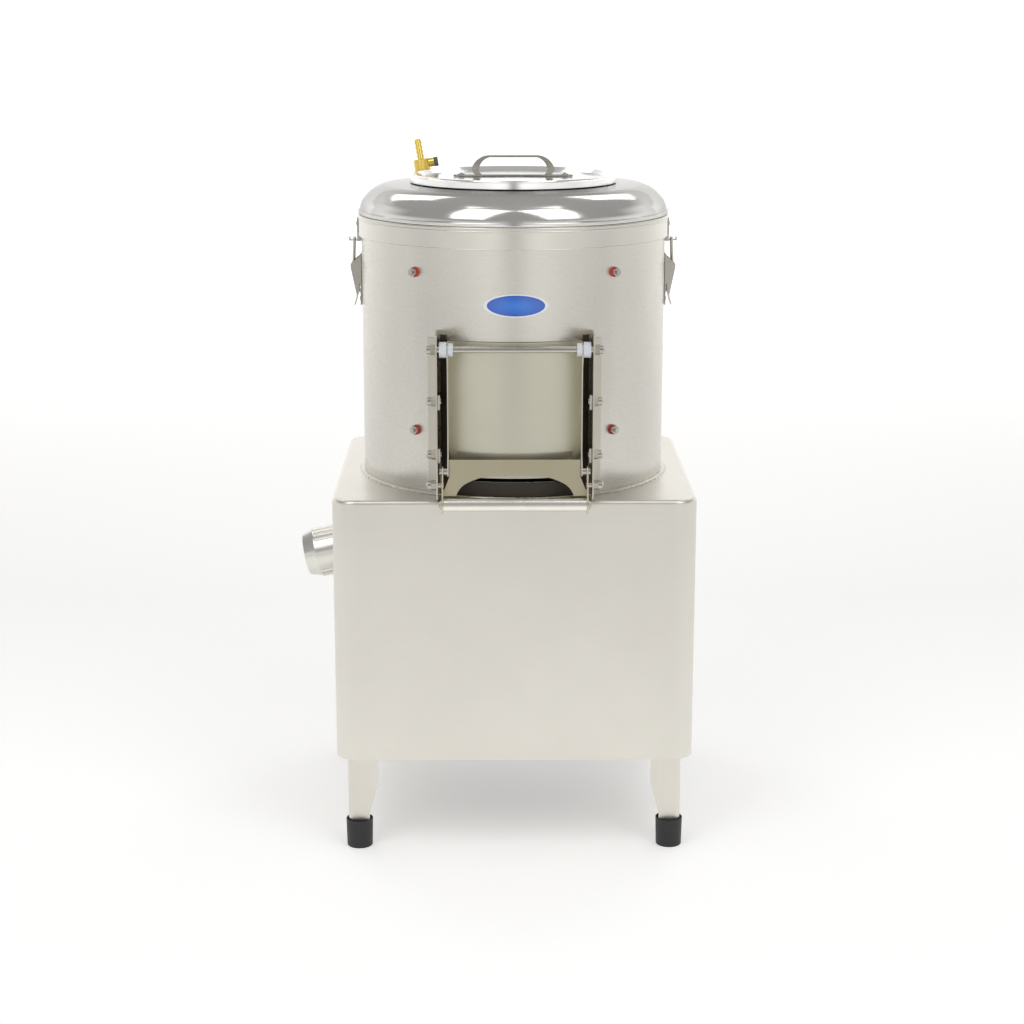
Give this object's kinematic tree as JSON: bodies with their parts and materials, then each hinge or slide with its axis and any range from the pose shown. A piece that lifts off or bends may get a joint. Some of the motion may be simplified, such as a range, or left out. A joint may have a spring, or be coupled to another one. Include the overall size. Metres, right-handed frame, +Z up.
{
  "type": "potato peeling machine",
  "caption": "Stainless floor-standing abrasive vegetable peeler: round drum with domed lid and lift-off cap on a square open-bottomed base, front discharge door, side drain spout.",
  "frame": {"origin": "on the floor, under the middle of the machine's overall box", "axes": "+Z up, the discharge door faces -Y, the drain spout points to -X"},
  "size_m": [0.5246, 0.462, 0.8732],
  "materials": {
    "housing_steel": "brushed",
    "frame_steel": "brushed",
    "drum_steel": "brushed",
    "skirt_steel": "brushed",
    "mirror_steel": "polished",
    "cap_steel": "polished",
    "bright_steel": "polished",
    "bar_steel": "satin",
    "door_steel": "brushed",
    "lock_steel": "brushed",
    "cheek_steel": "brushed",
    "pan_steel": "satin",
    "shaft_steel": "ground",
    "cast_parts": "as cast",
    "motor_paint": "painted",
    "abrasive": "gritty",
    "foot_rubber": "matt",
    "seal_rubber": "matt",
    "spout_steel": "satin",
    "sealing_fibre": "matt",
    "nylon": "smooth",
    "brass": "machined",
    "plug_grey": "smooth",
    "badge_enamel": "gloss",
    "panel_steel": "brushed",
    "black_plastic": "matt",
    "green_plastic": "gloss",
    "red_plastic": "gloss"
  },
  "bodies": {
    "frame": {"base_housing": "housing_steel", "bottom_frame": "frame_steel", "legs": "frame_steel", "rubber_feet": "foot_rubber", "drum_shell": "drum_steel", "drum_base_ring": "drum_steel", "abrasive_liner": "abrasive", "liner_bolts": "bright_steel", "liner_nuts": "bright_steel", "liner_sealing_washers": "sealing_fibre", "badge_plate": "badge_enamel", "sump_pan": "pan_steel", "drain_pipe": "pan_steel", "spout_coupling": "spout_steel", "bearing_housing": "cast_parts", "spindle_bearings": "shaft_steel", "shaft_seal": "seal_rubber", "motor": "motor_paint", "motor_mount": "frame_steel", "drive_belt": "seal_rubber", "cable_gland": "black_plastic", "control_panel": "panel_steel", "control_box": "black_plastic", "lid_dome": "mirror_steel", "lid_skirt": "skirt_steel", "lid_gasket": "seal_rubber", "inlet_body": "brass", "hose_tail": "brass", "inlet_plug": "plug_grey", "latch_catches": "bright_steel", "latch_bases": "bright_steel", "latch_rivets": "bright_steel", "side_cheeks": "cheek_steel", "hinge_rod": "bright_steel", "acorn_nuts": "bright_steel", "cheek_bolts": "bright_steel", "catch_pins": "bright_steel", "door_seal": "seal_rubber"},
    "cap": {"loading_cap": "cap_steel", "cap_handle": "bright_steel", "cap_screws": "bright_steel"},
    "spindle": {"abrasive_disc": "abrasive", "drive_spindle": "shaft_steel", "spindle_pulley": "cast_parts"},
    "rotor": {"motor_pulley": "cast_parts", "motor_shaft": "shaft_steel"},
    "door": {"door_panel": "door_steel", "rod_washers": "nylon", "lock_pivots": "bright_steel"},
    "lock": {"lock_plate": "lock_steel", "lock_arms": "lock_steel", "handle_bar": "bar_steel", "bar_end_nuts": "bright_steel"},
    "lever_left": {"latch_lever_left": "bright_steel"},
    "bail_left": {"latch_bail_left": "bright_steel"},
    "lever_right": {"latch_lever_right": "bright_steel"},
    "bail_right": {"latch_bail_right": "bright_steel"},
    "timer": {"timer_knob": "black_plastic"},
    "start": {"start_button": "green_plastic"},
    "stop": {"stop_button": "red_plastic"}
  },
  "joints": [
    {"name": "cap_lift", "type": "slide", "parent": "frame", "child": "cap", "axis": [0, 0, 1], "range_m": [0, 0.12]},
    {"name": "disc_spin", "type": "hinge", "parent": "frame", "child": "spindle", "pos_m": [0.0165, 0.0045, 0.455], "axis": [0, 0, 1], "continuous": true},
    {"name": "motor_spin", "type": "hinge", "parent": "frame", "child": "rotor", "pos_m": [0.1165, 0.1095, 0.295], "axis": [0, 0, 1], "continuous": true},
    {"name": "door_hinge", "type": "hinge", "parent": "frame", "child": "door", "pos_m": [0.0165, -0.204, 0.6418], "axis": [-1, 0, 0], "range_deg": [0, 80]},
    {"name": "lock_hinge", "type": "hinge", "parent": "door", "child": "lock", "pos_m": [0.0165, -0.2045, 0.4928], "axis": [-1, 0, 0], "range_deg": [0, 35]},
    {"name": "lever_right_hinge", "type": "hinge", "parent": "frame", "child": "lever_right", "pos_m": [0.2165, 0.0045, 0.723], "axis": [0, -1, 0], "range_deg": [0, 90]},
    {"name": "bail_right_hinge", "type": "hinge", "parent": "lever_right", "child": "bail_right", "pos_m": [0.2211, 0.0045, 0.7184], "axis": [0, -1, 0], "range_deg": [-90, 0]},
    {"name": "lever_left_hinge", "type": "hinge", "parent": "frame", "child": "lever_left", "pos_m": [-0.1835, 0.0045, 0.723], "axis": [0, 1, 0], "range_deg": [0, 90]},
    {"name": "bail_left_hinge", "type": "hinge", "parent": "lever_left", "child": "bail_left", "pos_m": [-0.1881, 0.0045, 0.7184], "axis": [0, 1, 0], "range_deg": [-90, 0]},
    {"name": "timer_turn", "type": "hinge", "parent": "frame", "child": "timer", "pos_m": [0.2465, 0.1025, 0.357], "axis": [-1, 0, 0], "range_deg": [0, 270]},
    {"name": "start_press", "type": "slide", "parent": "frame", "child": "start", "axis": [-1, 0, 0], "range_m": [0, 0.003], "stiffness_N_per_m": 300},
    {"name": "stop_press", "type": "slide", "parent": "frame", "child": "stop", "axis": [-1, 0, 0], "range_m": [0, 0.003], "stiffness_N_per_m": 300}
  ],
  "couplings": [
    {"joint": "motor_spin", "follows": "disc_spin", "ratio": 2.8125},
    {"joint": "bail_right_hinge", "follows": "lever_right_hinge", "ratio": -1},
    {"joint": "bail_left_hinge", "follows": "lever_left_hinge", "ratio": -1}
  ]
}
